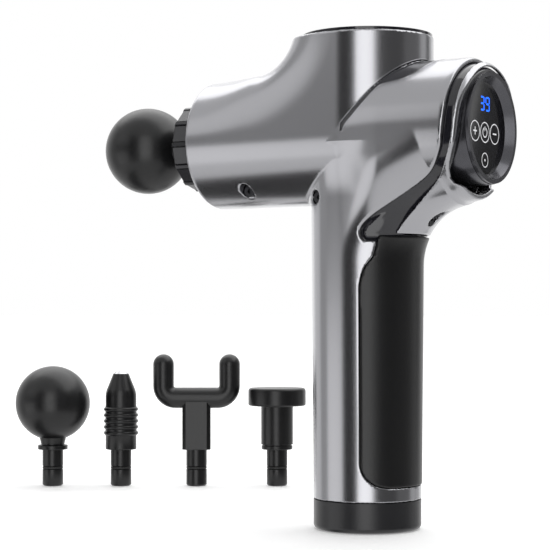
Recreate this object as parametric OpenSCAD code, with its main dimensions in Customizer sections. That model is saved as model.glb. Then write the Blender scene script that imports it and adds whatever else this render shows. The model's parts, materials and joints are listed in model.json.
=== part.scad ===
// Cordless massage gun with a reciprocating plunger, interchangeable heads and a round rear display.
// Origin: centre of the base's bottom face. +Z up the handle, -X towards the massage head,
// +X towards the display. All lengths are in millimetres.

/* [Overall] */
// Height of the barrel and plunger axis above the base
axis_h = 190.5; // [186:0.5:232]
// Height of the motor housing's top above the barrel axis
turret_rise = 49.5; // [47:0.5:62]
// Distance from the handle axis to the barrel's front face
barrel_reach = 87; // [85:0.5:106]
// Distance from the handle axis to the display's front rim
display_reach = 67.5; // [66:0.5:82]

/* [Outer diameters] */
// Diameter of the barrel
barrel_d = 64.6; // [64:0.2:78]
// Diameter of the upright motor housing
turret_d = 64.4; // [64:0.2:78]
// Diameter of the rear boss that carries the display
boss_d = 66.6; // [66:0.2:80]
// Diameter of the handle where it meets the base cap
handle_low_d = 52.5; // [52:0.1:63]
// Diameter of the handle at the barrel axis
handle_top_d = 55.2; // [54.6:0.1:66]
// Outer diameter of the display's rim
display_d = 52.4; // [48:0.2:56]

/* [Shell] */
// Wall of the moulded shells
wall = 2.2; // [1.8:0.1:2.6]
// Radius of the blend between the barrel's top and the motor housing
front_blend_r = 18.5; // [16:0.5:24]
// Radius of the blend between the handle's back and the rear boss
neck_blend_r = 28; // [24:0.5:34]
// Slope of the rear boss's underside
neck_slope = 31; // [28:1:34]
// Width of the dark groove that runs round the rear boss
groove_w = 4.2; // [3.4:0.1:5]
// Thickness of the soft grip
grip_t = 2.2; // [1.6:0.1:2.4]
// Height of the base cap
base_h = 14.5; // [14:0.5:18]

/* [Drive] */
// Diameter of the plunger
plunger_d = 18; // [16.5:0.1:22]
// Stroke of the plunger, end to end
stroke = 10; // [6:0.5:10]
// Crank pin to wrist pin distance
rod_len = 38; // [36:0.5:46]
// Outer diameter of the motor's can
motor_d = 50; // [48:0.5:52]
// Height of the motor's can
motor_h = 22; // [21:0.5:24]
// Diameter of the motor shaft
shaft_d = 5; // [4:0.1:6]

/* [Heads] */
// Diameter of the shank that every head shares
shank_d = 12.5; // [10.5:0.1:15]
// Length of the shank
shank_len = 22; // [18:0.5:24]
// Diameter of the ball
ball_d = 45; // [40:0.5:52]
// Distance between the fork's tine axes
fork_span = 40.2; // [34:0.2:48]
// Diameter of the fork's bar
fork_bar_d = 12.6; // [10:0.1:14]
// Diameter of the bullet's body
bullet_d = 18.7; // [16:0.1:22]
// Diameter of the flat head's disc
disc_d = 35; // [30:0.5:42]

/* [Fits] */
// Radial clearance of a running or sliding fit
run_fit = 0.05; // [0.02:0.01:0.08]
// Gap between pieces that are seated in each other
seat_fit = 0.1; // [0.05:0.01:0.15]

/* [Hidden] */
$fn = 96;

// Shell outline
barrel_r = barrel_d / 2;
turret_r = turret_d / 2;
boss_r = boss_d / 2;
handle_low_r = handle_low_d / 2;
handle_top_r = handle_top_d / 2;
boss_z = axis_h + 1.1;
cap_t = 1.2;
shell_top = axis_h + turret_rise - cap_t;
front_wall = 3;
// The display boss narrows towards the rim over this length
boss_end = display_reach - 1;
boss_taper = 8.5;
boss_end_r = boss_r - 2.7;
function handle_r(z) = handle_low_r + (handle_top_r - handle_low_r) * (z - base_h) / (axis_h - base_h);
// The neck starts to swell out of the handle here
neck_z = axis_h - 62.8;
neck_x = handle_r(neck_z);
neck_lean = 40;
neck_low_r = 24;
neck_top_r = 33.2;

// Groove and parting lines, as side-view outlines. lip_x is where the front lip stands on the boss.
lip_x = display_reach - 9;
// Front lip below the boss, from the boss side down to the handle: [x from lip_x, z from boss_z]
lip_run = [[0, 60], [0, 7], [-0.9, -1], [-1.9, -8.4], [-7.2, -18], [-15.9, -25.3], [-24.2, -29.8],
           [-33.9, -35.7], [-42.8, -40.8], [-49.3, -46.4]];
// Rear lip of the same groove
rear_run = [[0, 60], [0, 8], [-0.9, 0], [-1.4, -6.2], [-4.3, -13.9], [-13.4, -26], [-15.9, -28.1],
            [-22.2, -32.4], [-27.6, -36.8], [-31.8, -40.4], [-36.1, -45.3]];

// Soft grip, as a side-view outline
grip_low_z = 21.5;
grip_top_z = axis_h - 50;
grip_front_x = 9.8;
grip_corner_r = 12;

// Drive
crank_r = stroke / 2;
plunger_r = plunger_d / 2;
shank_r = shank_d / 2;
shaft_r = shaft_d / 2;
head_seat_x = -barrel_reach - 18;
socket_depth = shank_len + 2;
wrist_x = -rod_len;
// The linkage is opened at the wrist pin: the small end carries this play round the pin
play_axial = 0.21 * crank_r + 0.15;
play_side = crank_r / 2 + 0.15;
wrist_r = 2.5;
rod_t = 8;
crank_pin_r = 3;
crank_bearing_r = 6.5;
crank_bearing_w = 5;
rod_gap = 0.8;
crank_t = 8;
crank_low = axis_h + rod_t / 2 + rod_gap;
crank_top = crank_low + crank_t;
case_r = 26;
case_wall = 3;
case_floor = axis_h - 13;
flange_low = crank_top + 2.7;
flange_t = 4;
sleeve_t = 3;
tube_r = plunger_r + run_fit + sleeve_t + 3;
tube_end = barrel_reach + 12;
collar_len = 15.4;
collar_r = 22.6;
sleeve_rear = rod_len + crank_r + 11;
motor_low = flange_low + flange_t + 1.2;
motor_top = motor_low + motor_h;
bearing_r = 5.5 + (shaft_r - 2.5);
bearing_w = 5;
pillar_r = bearing_r + 2;
magnet_t = 2.2;
can_wall = 1.6;
stator_r = motor_d / 2 - can_wall - magnet_t - 0.7;
stator_low = motor_low + 1.5;
stator_h = 14;
magnets = 14;
slots = 12;
motor_screw_pcr = 24.3;
screw_r = 1.5;

// Battery: six standard 18650 cells in two layers of three
cell_r = 9.2;
cell_len = 65;
cell_pcr = cell_r * 2 / sqrt(3) + 0.5;
strip_t = 0.3;
pack_low = base_h + 6.7;
layer_gap = 2;
pack_top = pack_low + 2 * cell_len + layer_gap;
holder_r = cell_pcr + cell_r + 1;
board_t = 1.6;

// Base fittings
rocker_x = -10;
rocker_pivot_z = 5;
rocker_tilt = 8;
jack_x = 12;
jack_bore_r = 2.8;
jack_pin_r = 1;

// Spare heads stand in a row beside the gun, on the same surface
row_angle = 32.6;
row_side = 119;
row_back = 210;
// Centre of each head along the row: ball, bullet, fork, flat
row_at = [-61.5, -20, 26, 75];

function arc(c, r, a0, a1, n) = [for (i = [0:n]) c + r * [cos(a0 + (a1 - a0) * i / n), sin(a0 + (a1 - a0) * i / n)]];

// Extrudes a side-view outline (x, z) across the whole width of the gun
module side_cut(points) rotate([90, 0, 0]) linear_extrude(height = 120, center = true) polygon(points);

// Cylinder along X from x0 to x1
module along_x(x0, x1, r, r2 = undef) translate([x0, 0, 0]) rotate([0, 90, 0])
  cylinder(r1 = r, r2 = is_undef(r2) ? r : r2, h = x1 - x0);

// Cylinder along Y from y0 to y1
module along_y(y0, y1, r) translate([0, y0, 0]) rotate([-90, 0, 0]) cylinder(r = r, h = y1 - y0);

// Outer form of the housing, moved inwards by d. A positive d leaves the three mouths open.
module barrel_form(d) translate([0, 0, axis_h]) along_x(-barrel_reach + (d > 0 ? front_wall : 0), 14, barrel_r - d);

module turret_form(d) translate([0, 0, axis_h - 4])
  cylinder(r = turret_r - d, h = shell_top - axis_h + 4 + (d > 0 ? 1 : 0));

module handle_form(d) {
  low = d > 0 ? base_h - 1 : base_h;
  translate([0, 0, low]) cylinder(r1 = handle_r(low) - d, r2 = handle_top_r - d, h = axis_h - low);
}

module boss_form(d) translate([0, 0, boss_z]) {
  along_x(4, boss_end - boss_taper, boss_r - d);
  along_x(boss_end - boss_taper, boss_end + (d > 0 ? 1 : 0), boss_r - d, boss_end_r - d);
}

// Concave blend between the barrel's top and the motor housing's front
module front_blend(d) {
  c = [-turret_r - front_blend_r, axis_h + barrel_r + front_blend_r];
  low_z = axis_h + 6;
  top_z = shell_top + (d > 0 ? 1 : 0);
  r = front_blend_r + d;
  lift = asin((top_z - c[1]) / r);
  intersection() {
    side_cut(concat([[c[0], low_z]], arc(c, r, -90, lift, 16), [[-8, top_z], [-8, low_z]]));
    translate([-turret_r, 0, axis_h + barrel_r - 10]) rotate([0, 42, 0])
      cylinder(r = barrel_r - 0.5 - d, h = 120, center = true);
  }
}

// Swelling between the handle's back and the boss
module neck_form(d) {
  c = [neck_x + neck_blend_r, neck_z];
  r = neck_blend_r + d;
  turn = 90 - neck_slope;
  end = c + r * [-cos(turn), sin(turn)];
  run = 21;
  tip = end + run * [cos(neck_slope), sin(neck_slope)];
  intersection() {
    side_cut(concat([[0, neck_z]], [for (i = [0:14]) c + r * [-cos(turn * i / 14), sin(turn * i / 14)]],
                    [tip, [tip[0], boss_z], [0, boss_z]]));
    translate([2, 0, neck_z - 4]) rotate([0, neck_lean, 0])
      cylinder(r1 = neck_low_r - d, r2 = neck_top_r - d, h = 78);
  }
}

module body_form(d) {
  barrel_form(d);
  turret_form(d);
  handle_form(d);
  boss_form(d);
  front_blend(d);
  neck_form(d);
}

function from_lip(run, dx) = [for (p = run) [lip_x + p[0] + dx, boss_z + p[1]]];

// Outline behind the front lip, moved back by g: everything that the two half shells leave open
function behind_front(g) = concat(from_lip(lip_run, g), [[16.8 + g, grip_top_z - 3.9], [22 + g, grip_top_z],
  [90, grip_top_z], [90, boss_z + 60]]);

// Outline behind the rear lip, moved back by g: the rear cover's own ground
function behind_rear(g) = concat(from_lip(rear_run, groove_w + g), [[24.5 + g, grip_top_z + seat_fit],
  [90, grip_top_z + seat_fit], [90, boss_z + 60]]);

// Outline of the grip, grown by g
function grip_side(g) = concat([[60, grip_low_z - g]],
  arc([grip_front_x + grip_corner_r, grip_low_z + grip_corner_r], grip_corner_r + g, 270, 180, 10),
  arc([grip_front_x + grip_corner_r, grip_top_z - grip_corner_r], grip_corner_r + g, 180, 90, 10),
  [[60, grip_top_z + g]]);

// Screws that close the half shells, on the near side: [x, z, depth of the head's seat]
shell_screw_at = [[-barrel_reach + 29.4, axis_h - 25, 15], [-16.6, axis_h - 29.5, 16]];
cover_screw_z = axis_h - 40.5;
cover_seat_x = neck_x + 5.8;

module half_shell(side) {
  difference() {
    union() {
      difference() {
        intersection() {
          body_form(0);
          translate([-150, side > 0 ? 0 : -60, 0]) cube([300, 60, 300]);
        }
        body_form(wall);
        side_cut(behind_front(0));
        // Seat of the soft grip
        difference() {
          side_cut(grip_side(seat_fit));
          body_form(grip_t - 0.4);
        }
        // Opening for the drive's front tube
        translate([0, 0, axis_h]) along_x(-barrel_reach - 1, -barrel_reach + front_wall + 1, tube_r + 0.3);
      }
      // Inner skin behind the grip
      difference() {
        intersection() {
          difference() {
            body_form(grip_t - 0.4);
            body_form(wall + grip_t - 0.4);
          }
          side_cut(grip_side(wall));
          translate([-150, side > 0 ? 0 : -60, base_h]) cube([300, 60, 300]);
        }
        side_cut(behind_front(0));
      }
      for (p = shell_screw_at) translate([p[0], 0, p[1]])
        intersection() {
          if (side < 0) along_y(-24, -seat_fit / 2, 5);
          else along_y(0, 24, 4);
          translate([-p[0], 0, -p[1]]) body_form(wall / 2);
        }
      if (side > 0) cover_boss();
    }
    for (p = shell_screw_at) translate([p[0], 0, p[1]]) {
      if (side < 0) {
        along_y(-60, -p[2], 3.5);
        along_y(-60, 1, screw_r + 0.2);
      }
      else along_y(-1, 14, screw_r);
    }
    if (side > 0) translate([0, 0, cover_screw_z]) along_x(holder_r, cover_seat_x, screw_r);
  }
}

// Bracket on the right half shell that takes the rear cover's screw
module cover_boss() {
  low = grip_top_z - 12;
  translate([0, 0, cover_screw_z]) along_x(holder_r + 0.6, cover_seat_x - 2.2, 3.6);
  translate([holder_r + 0.6, 0, low]) cube([1.8, 8, cover_screw_z + 3 - low]);
}

module left_shell() color("#8d8d92") half_shell(-1);
module right_shell() color("#8d8d92") half_shell(1);

module rear_cover() color("#8d8d92") difference() {
  union() {
    difference() {
      intersection() {
        body_form(0);
        side_cut(behind_rear(0));
      }
      body_form(wall);
    }
    intersection() {
      translate([0, 0, cover_screw_z]) along_x(cover_seat_x - 2, 60, 5.2);
      body_form(wall / 2);
    }
  }
  translate([0, 0, cover_screw_z]) {
    along_x(cover_seat_x, 60, 3.5);
    along_x(cover_seat_x - 5, 60, screw_r + 0.2);
  }
}

// Dark strip that shows in the groove and backs both lips
module groove_trim() color("#17181c") intersection() {
  difference() {
    body_form(wall + seat_fit);
    body_form(wall + seat_fit + 1.5);
  }
  difference() {
    side_cut(behind_front(-2.5));
    side_cut(behind_rear(2.5));
  }
  translate([0, 0, boss_z + 14.5]) cube([200, 120, 130], center = true);
}

module turret_cap() color("#141416") {
  translate([0, 0, shell_top]) cylinder(r = turret_r - 0.5, h = cap_t);
  translate([0, 0, shell_top - 3]) difference() {
    cylinder(r = turret_r - wall - seat_fit, h = 3);
    translate([0, 0, -1]) cylinder(r = turret_r - wall - seat_fit - 1.6, h = 5);
  }
}

// Twelve-sided collar round the plunger's mouth, with a rib at each corner
module nose_collar() color("#1b1c1f") translate([-barrel_reach, 0, axis_h]) rotate([0, -90, 0]) difference() {
  union() {
    cylinder(r = collar_r - 0.3, h = collar_len, $fn = 12);
    for (i = [0:11]) rotate([0, 0, i * 30]) translate([collar_r - 0.9, 0, 0]) cylinder(r = 0.9, h = collar_len, $fn = 24);
  }
  translate([0, 0, -1]) cylinder(r = tube_r + seat_fit, h = collar_len - 1);
  cylinder(r = plunger_r + 1.6, h = 40);
}

module rubber_grip() color("#1a1a1b") intersection() {
  difference() {
    body_form(-0.4);
    body_form(grip_t - 0.4 - seat_fit);
  }
  side_cut(grip_side(0));
}

module base_cap() color("#3b3b3e") difference() {
  union() {
    translate([0, 0, 2.5]) cylinder(r = handle_low_r, h = base_h - 2.5);
    rotate_extrude() polygon(concat([[0, 0]], arc([handle_low_r - 2.5, 2.5], 2.5, 270, 360, 8), [[0, 2.5]]));
    cylinder(r = handle_low_r - wall - 0.15, h = base_h + 4);
  }
  translate([0, 0, 2.5]) cylinder(r = handle_low_r - 2 * wall - 2.4, h = 40);
  translate([0, 0, base_h + 2.4]) cylinder(r = handle_low_r - 2 * wall - 0.4, h = 40);
  translate([rocker_x, 0, 0]) {
    cube([14.2, 10.2, 12], center = true);
    cube([16.2, 11.8, 3.5], center = true);
  }
  translate([jack_x, 0, -1]) cylinder(r = 5.6, h = 10);
}

// Display
rim_r = display_d / 2;
lens_x = display_reach - 4.2;
lens_t = 1.5;
lens_r = rim_r - 1.7;
inlay_t = 0.3;

module display_barrel() color("#2e2f33") translate([0, 0, boss_z]) difference() {
  along_x(lens_x - 13, display_reach - 1.6, rim_r + 2, rim_r + 0.3);
  along_x(lens_x - 14, display_reach, lens_r + seat_fit);
}

module display_bezel() color("#3c3d41") translate([0, 0, boss_z]) difference() {
  union() {
    along_x(display_reach - 1.5, display_reach, rim_r);
    along_x(lens_x + seat_fit, display_reach - 1, lens_r);
  }
  along_x(lens_x - 1, display_reach + 1, rim_r - 5.2, rim_r - 1.6);
}

// The lit figures "39" stand flush in the lens as thin bars
digit_h = 6.8;
digit_w = 4.4;
bar_w = 0.8;
digit_gap = 1.2;
digits_up = 11.4;
// Segments of a digit: [centre across, centre up, lies flat]
seg_top = [0, digit_h / 2 - bar_w / 2, true];
seg_mid = [0, 0, true];
seg_low = [0, bar_w / 2 - digit_h / 2, true];
seg_ur = [digit_w / 2 - bar_w / 2, digit_h / 4, false];
seg_lr = [digit_w / 2 - bar_w / 2, -digit_h / 4, false];
seg_ul = [bar_w / 2 - digit_w / 2, digit_h / 4, false];
three = [seg_top, seg_mid, seg_low, seg_ur, seg_lr];
nine = [seg_top, seg_mid, seg_low, seg_ur, seg_lr, seg_ul];

module bars(list) for (s = list) translate([s[0], s[1]])
  square(s[2] ? [digit_w - 2 * bar_w - 0.3, bar_w] : [bar_w, digit_h / 2 - bar_w / 2 - 0.3], center = true);

// Places a flat drawing (across, up) in the lens's front face, h thick and flush with it
module on_lens(h) translate([lens_x - h, 0, boss_z]) rotate([90, 0, 90]) linear_extrude(height = h) children();

module digit_marks() translate([0, digits_up]) {
  translate([-(digit_w + digit_gap) / 2, 0]) bars(three);
  translate([(digit_w + digit_gap) / 2, 0]) bars(nine);
}

module ring_mark(r, w) difference() {
  circle(r = r);
  circle(r = r - w);
}

icon_r = 4.9;
icon_step = 10.4;
icons_up = -2;
dot_up = -15;
module icon_marks() {
  for (x = [-1:1]) translate([x * icon_step, icons_up]) ring_mark(icon_r, 0.5);
  translate([-icon_step, icons_up]) {
    square([3.8, 0.7], center = true);
    square([0.7, 3.8], center = true);
  }
  translate([icon_step, icons_up]) square([3.8, 0.7], center = true);
  translate([0, icons_up]) {
    translate([0, 1.7]) square([0.7, 2], center = true);
    difference() {
      ring_mark(2.5, 0.6);
      translate([0, 2.4]) square([2, 2.2], center = true);
    }
  }
  translate([0, dot_up]) {
    ring_mark(3.5, 0.45);
    circle(r = 0.6);
  }
}

module display_lens() color("#0b0c0e") difference() {
  translate([0, 0, boss_z]) along_x(lens_x - lens_t, lens_x, lens_r);
  translate([1, 0, 0]) on_lens(inlay_t + 1) digit_marks();
  translate([1, 0, 0]) on_lens(inlay_t + 1) icon_marks();
}

module led_digits() color("#2f8bff") on_lens(inlay_t) digit_marks();
module touch_icons() color("#e8e8ea") on_lens(inlay_t) icon_marks();

module led_module() color("#e6e6e6") translate([lens_x - lens_t - 3 - seat_fit, -8, boss_z + digits_up - 5]) cube([3, 16, 10]);

module display_board() color("#1f5a38") translate([0, 0, boss_z]) {
  along_x(lens_x - lens_t - 3 - seat_fit - board_t, lens_x - lens_t - 3 - seat_fit, lens_r - 0.5);
}

module driver_board() color("#1f5a38") translate([0, 0, boss_z]) {
  difference() {
    along_x(case_r + 13, case_r + 13 + board_t, 22);
    translate([case_r, -30, -40]) cube([30, 60, 20]);
  }
  // Six power switches and a smoothing capacitor
  for (y = [-14, 0, 14], z = [4, 13]) translate([case_r + 11.2, y - 3, z - 3]) cube([1.8, 6, 5]);
  translate([0, 0, -10]) translate([case_r + 3, 0, 0]) along_x(0, 10, 4);
}

// Motor
module motor_mount() color("#b9babd") difference() {
  union() {
    translate([0, 0, flange_low]) cylinder(r = case_r, h = flange_t);
    translate([0, 0, flange_low]) cylinder(r = pillar_r, h = stator_low + stator_h + 3 - flange_low);
  }
  translate([0, 0, flange_low - 1]) cylinder(r = bearing_r - 1, h = 60);
  translate([0, 0, flange_low - 1]) cylinder(r = bearing_r + 0.01, h = bearing_w + 1.5);
  translate([0, 0, stator_low + stator_h + 3 - bearing_w - 0.5]) cylinder(r = bearing_r + 0.01, h = 40);
  // Slot for the motor's leads
  translate([pillar_r + 1.5, -3.6, flange_low + 1.8]) cube([40, 7.2, 6]);
  for (a = [45:90:315]) rotate([0, 0, a]) translate([motor_screw_pcr, 0, flange_low]) {
    translate([0, 0, -1]) cylinder(r = screw_r + 0.1, h = 10);
    translate([0, 0, 1.6]) cylinder(r = 2.9, h = 10);
  }
}

module motor_bearings() color("#c9cacc")
  for (z = [flange_low + 0.5, stator_low + stator_h + 3 - bearing_w - 0.5]) translate([0, 0, z]) difference() {
    cylinder(r = bearing_r, h = bearing_w);
    translate([0, 0, -1]) cylinder(r = shaft_r + 0.02, h = bearing_w + 2);
    for (e = [-1, bearing_w - 0.5]) translate([0, 0, e]) difference() {
      cylinder(r = bearing_r - 0.9, h = 1.5);
      translate([0, 0, -1]) cylinder(r = shaft_r + 0.9, h = 4);
    }
  }

module stator_core() color("#77787c") translate([0, 0, stator_low]) difference() {
  union() {
    cylinder(r = pillar_r + 3.2, h = stator_h);
    for (i = [0:slots - 1]) rotate([0, 0, i * 360 / slots]) {
      translate([pillar_r, -1.3, 0]) cube([stator_r - pillar_r - 1.6, 2.6, stator_h]);
      intersection() {
        difference() {
          cylinder(r = stator_r, h = stator_h);
          translate([0, 0, -1]) cylinder(r = stator_r - 2, h = stator_h + 2);
        }
        translate([0, -4.2, 0]) cube([stator_r + 1, 8.4, stator_h]);
      }
    }
  }
  translate([0, 0, -1]) cylinder(r = pillar_r + 0.02, h = stator_h + 2);
}

module stator_coils() color("#b4632a") translate([0, 0, stator_low])
  for (i = [0:slots - 1]) rotate([0, 0, i * 360 / slots]) difference() {
    translate([pillar_r + 3.6, -2.7, -1.2]) cube([stator_r - 2.4 - pillar_r - 3.6, 5.4, stator_h + 2.4]);
    translate([pillar_r, -1.32, -0.02]) cube([stator_r, 2.64, stator_h + 0.04]);
  }

module rotor_can() color("#55565a") difference() {
  union() {
    translate([0, 0, motor_low]) cylinder(r = motor_d / 2, h = motor_h);
  }
  translate([0, 0, motor_low - 1]) difference() {
    cylinder(r = motor_d / 2 - can_wall, h = motor_h - 1);
    translate([0, 0, stator_low + stator_h + 4 - motor_low]) cylinder(r = shaft_r + 2.5, h = 30);
  }
  cylinder(r = shaft_r, h = 400);
  for (a = [0:60:300]) rotate([0, 0, a]) translate([motor_d / 4 + 1, 0, motor_top - 4]) cylinder(r = 3, h = 10);
}

module rotor_magnets() color("#3d3e42") translate([0, 0, stator_low])
  for (i = [0:magnets - 1]) rotate([0, 0, i * 360 / magnets]) intersection() {
    difference() {
      cylinder(r = motor_d / 2 - can_wall, h = stator_h);
      translate([0, 0, -1]) cylinder(r = motor_d / 2 - can_wall - magnet_t, h = stator_h + 2);
    }
    translate([0, -4.4, 0]) cube([motor_d, 8.8, stator_h]);
  }

module motor_shaft() color("#d5d6d8") translate([0, 0, crank_top - 3.5]) cylinder(r = shaft_r, h = motor_top - crank_top + 3.5);

// Crank: the pin stands off the shaft by half the stroke, on the near side at mid-stroke
module crank_disc() color("#9a8350") difference() {
  translate([0, 0, crank_low]) union() {
    cylinder(r = 14, h = crank_t);
    intersection() {
      cylinder(r = 17.5, h = crank_t);
      translate([-20, 2, 0]) cube([40, 20, crank_t]);
    }
  }
  translate([0, 0, crank_top - 3.5]) cylinder(r = shaft_r, h = 10);
  translate([0, -crank_r, crank_low - 1]) cylinder(r = crank_pin_r, h = 1 + crank_t - 4.2);
}

module crank_pin() color("#d5d6d8") translate([0, -crank_r, axis_h - rod_t / 2 - 1])
  cylinder(r = crank_pin_r, h = crank_top - 4.2 - axis_h + rod_t / 2 + 1);

module crank_bearing() color("#c9cacc") translate([0, -crank_r, axis_h - crank_bearing_w / 2]) difference() {
  cylinder(r = crank_bearing_r, h = crank_bearing_w);
  translate([0, 0, -1]) cylinder(r = crank_pin_r + run_fit, h = crank_bearing_w + 2);
  for (e = [-1, crank_bearing_w - 0.5]) translate([0, 0, e]) difference() {
    cylinder(r = crank_bearing_r - 1, h = 1.5);
    translate([0, 0, -1]) cylinder(r = crank_pin_r + 1, h = 4);
  }
}

// Round-ended slot shape across the rod's small end
module small_end(rx, ry, h) {
  translate([0, ry - rx, 0]) cylinder(r = rx, h = h);
  translate([0, rx - ry, 0]) cylinder(r = rx, h = h);
  translate([-rx, rx - ry, 0]) cube([2 * rx, 2 * (ry - rx), h]);
}

module connecting_rod() color("#a9aaad") translate([0, 0, axis_h - rod_t / 2]) {
  small_y = -crank_r / 2;
  rx = wrist_r + play_axial;
  ry = wrist_r + play_side;
  difference() {
    union() {
      translate([0, -crank_r, 0]) cylinder(r = crank_bearing_r + 2.6, h = rod_t);
      translate([wrist_x, small_y, 0]) small_end(rx + 2, ry + 2, rod_t);
      translate([0, -crank_r, 1]) rotate([0, 0, 180 - atan((crank_r / 2) / rod_len)])
        translate([crank_bearing_r + 1.5, -3.5, 0]) cube([rod_len - crank_bearing_r - rx - 2.5, 7, rod_t - 2]);
    }
    translate([0, -crank_r, -1]) cylinder(r = crank_bearing_r - 0.8, h = rod_t + 2);
    translate([0, -crank_r, (rod_t - crank_bearing_w) / 2]) cylinder(r = crank_bearing_r + 0.01, h = rod_t);
    translate([wrist_x, small_y, -1]) small_end(rx, ry, rod_t + 2);
  }
}

module wrist_pin() color("#d5d6d8") translate([wrist_x, 0, axis_h - plunger_r + 0.6]) cylinder(r = wrist_r, h = plunger_d - 1.2);

module plunger() color("#c2c3c6") translate([0, 0, axis_h]) {
  slot_front = wrist_x - wrist_r - crank_r / 2 - 6.6;
  difference() {
    along_x(head_seat_x, wrist_x + 8, plunger_r);
    along_x(head_seat_x - 1, head_seat_x + socket_depth, shank_r + run_fit);
    translate([slot_front, -20, -rod_t / 2 - 0.15]) cube([60, 40, rod_t + 0.3]);
    translate([wrist_x, 0, -plunger_r - 1]) cylinder(r = wrist_r, h = plunger_d + 2);
  }
}

module guide_sleeve() color("#c8a45a") translate([0, 0, axis_h]) difference() {
  along_x(-tube_end + 0.5, -sleeve_rear, plunger_r + run_fit + sleeve_t);
  along_x(-tube_end - 1, -sleeve_rear + 1, plunger_r + run_fit);
}

module dust_seal() color("#202022") translate([0, 0, axis_h]) difference() {
  along_x(-barrel_reach - collar_len + 2.1, -tube_end - 0.1, tube_r);
  along_x(-barrel_reach - collar_len, -tube_end + 1, plunger_r + 0.3);
}

module drive_housing() color("#a6a7aa") difference() {
  union() {
    translate([0, 0, case_floor]) cylinder(r = case_r, h = flange_low - case_floor);
    translate([0, 0, axis_h]) along_x(-tube_end, -case_r + 4, tube_r);
    for (a = [45:90:315]) rotate([0, 0, a]) translate([motor_screw_pcr, 0, case_floor]) cylinder(r = 3, h = flange_low - case_floor);
  }
  difference() {
    translate([0, 0, case_floor + 2.5]) cylinder(r = case_r - case_wall, h = 100);
    for (a = [45:90:315]) rotate([0, 0, a]) translate([motor_screw_pcr, 0, case_floor]) cylinder(r = 3, h = 100);
  }
  translate([0, 0, axis_h]) along_x(-tube_end - 1, -case_r + 8, plunger_r + run_fit + sleeve_t + 0.02);
  for (a = [45:90:315]) rotate([0, 0, a]) translate([motor_screw_pcr, 0, flange_low - 9]) cylinder(r = screw_r, h = 20);
}

// Rubber rings that hold the drive in the shells
module damper_rings() color("#232325") {
  translate([0, 0, axis_h]) for (x = [-barrel_reach + 7, -case_r - 8]) difference() {
    along_x(x, x + 6, barrel_r - wall - seat_fit);
    along_x(x - 1, x + 7, tube_r + seat_fit);
  }
  translate([0, 0, flange_low - 7]) difference() {
    cylinder(r = turret_r - wall - seat_fit, h = 6);
    translate([0, 0, -1]) cylinder(r = case_r + seat_fit, h = 8);
    translate([0, 0, axis_h - flange_low + 7]) along_x(-60, 0, tube_r + seat_fit);
    // Notch for the motor's leads
    translate([case_r, -3.6, -1]) cube([10, 7.2, 8]);
    for (a = [45:90:315]) rotate([0, 0, a]) translate([motor_screw_pcr, 0, -1]) cylinder(r = 3.1, h = 8);
  }
}

module motor_screws() color("#2c2c2e") for (a = [45:90:315]) rotate([0, 0, a]) translate([motor_screw_pcr, 0, 0]) {
  translate([0, 0, flange_low - 8]) cylinder(r = screw_r, h = 10);
  translate([0, 0, flange_low + 1.6]) difference() {
    cylinder(r = 2.75, h = 2.2);
    translate([0, 0, 1]) cylinder(r = 1.3, h = 3, $fn = 6);
  }
}

module shell_screws() color("#2c2c2e") for (p = shell_screw_at) translate([p[0], 0, p[1]]) {
  along_y(-p[2] - 1, 12, screw_r);
  difference() {
    along_y(-p[2] - 2.4, -p[2] - 0.05, 2.9);
    translate([0, -p[2] - 3, 0]) rotate([-90, 0, 0]) cylinder(r = 1.3, h = 1.8, $fn = 6);
  }
}

module cover_screw() color("#2c2c2e") translate([0, 0, cover_screw_z]) {
  along_x(holder_r + 1.5, cover_seat_x + 1, screw_r);
  difference() {
    along_x(cover_seat_x + 0.05, cover_seat_x + 2.4, 2.9);
    translate([cover_seat_x + 1.2, 0, 0]) rotate([0, 90, 0]) cylinder(r = 1.3, h = 3, $fn = 6);
  }
}

// Battery
module at_cells() for (a = [60:120:300]) rotate([0, 0, a]) translate([cell_pcr, 0, 0]) children();

module battery_cells() color("#3a6fb0") at_cells() for (z = [pack_low, pack_low + cell_len + layer_gap])
  translate([0, 0, z]) {
    cylinder(r = cell_r, h = cell_len - 1.2);
    cylinder(r = 3, h = cell_len);
  }

// End frames: round trays with a rim that keeps three cells together
module battery_holders() color("#dcdcd6") {
  pocket_r = cell_pcr + cell_r + 0.1;
  difference() {
    translate([0, 0, pack_low - 2.5]) cylinder(r = holder_r, h = 8);
    translate([0, 0, pack_low - strip_t]) cylinder(r = pocket_r, h = 20);
  }
  difference() {
    translate([0, 0, pack_low + cell_len - 5]) cylinder(r = holder_r, h = layer_gap + 10);
    translate([0, 0, pack_low + cell_len - 20]) cylinder(r = pocket_r, h = 20 + strip_t);
    translate([0, 0, pack_low + cell_len + layer_gap - strip_t]) cylinder(r = pocket_r, h = 20);
  }
  difference() {
    translate([0, 0, pack_top - 5]) cylinder(r = holder_r, h = 7);
    translate([0, 0, pack_top - 20]) cylinder(r = pocket_r, h = 20 + strip_t);
  }
}

// Welded strips: a three-armed plate at each end of each layer
module strip_plate() {
  cylinder(r = 5, h = strip_t);
  for (a = [60:120:300]) rotate([0, 0, a]) translate([0, -3.5, 0]) cube([cell_pcr + 3, 7, strip_t]);
}

module nickel_strips() color("#cfd0d2")
  for (z = [pack_low - strip_t, pack_low + cell_len, pack_low + cell_len + layer_gap - strip_t, pack_top])
    translate([0, 0, z]) strip_plate();

module charge_board() color("#1f5a38") translate([0, 0, base_h + 2.4]) cylinder(r = handle_low_r - 2 * wall - 0.6, h = board_t);

// Base fittings
module rocker_housing() color("#151517") translate([rocker_x, 0, 0]) difference() {
  union() {
    translate([-8, -5.8, 0.5]) cube([16, 11.6, 1.2]);
    translate([-7, -5, 1]) cube([14, 10, 13]);
  }
  translate([-5.9, -3.6, -1]) cube([11.8, 7.2, 9.5]);
  translate([0, 0, rocker_pivot_z]) along_y(-4.4, 4.4, 1 + run_fit);
}

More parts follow.
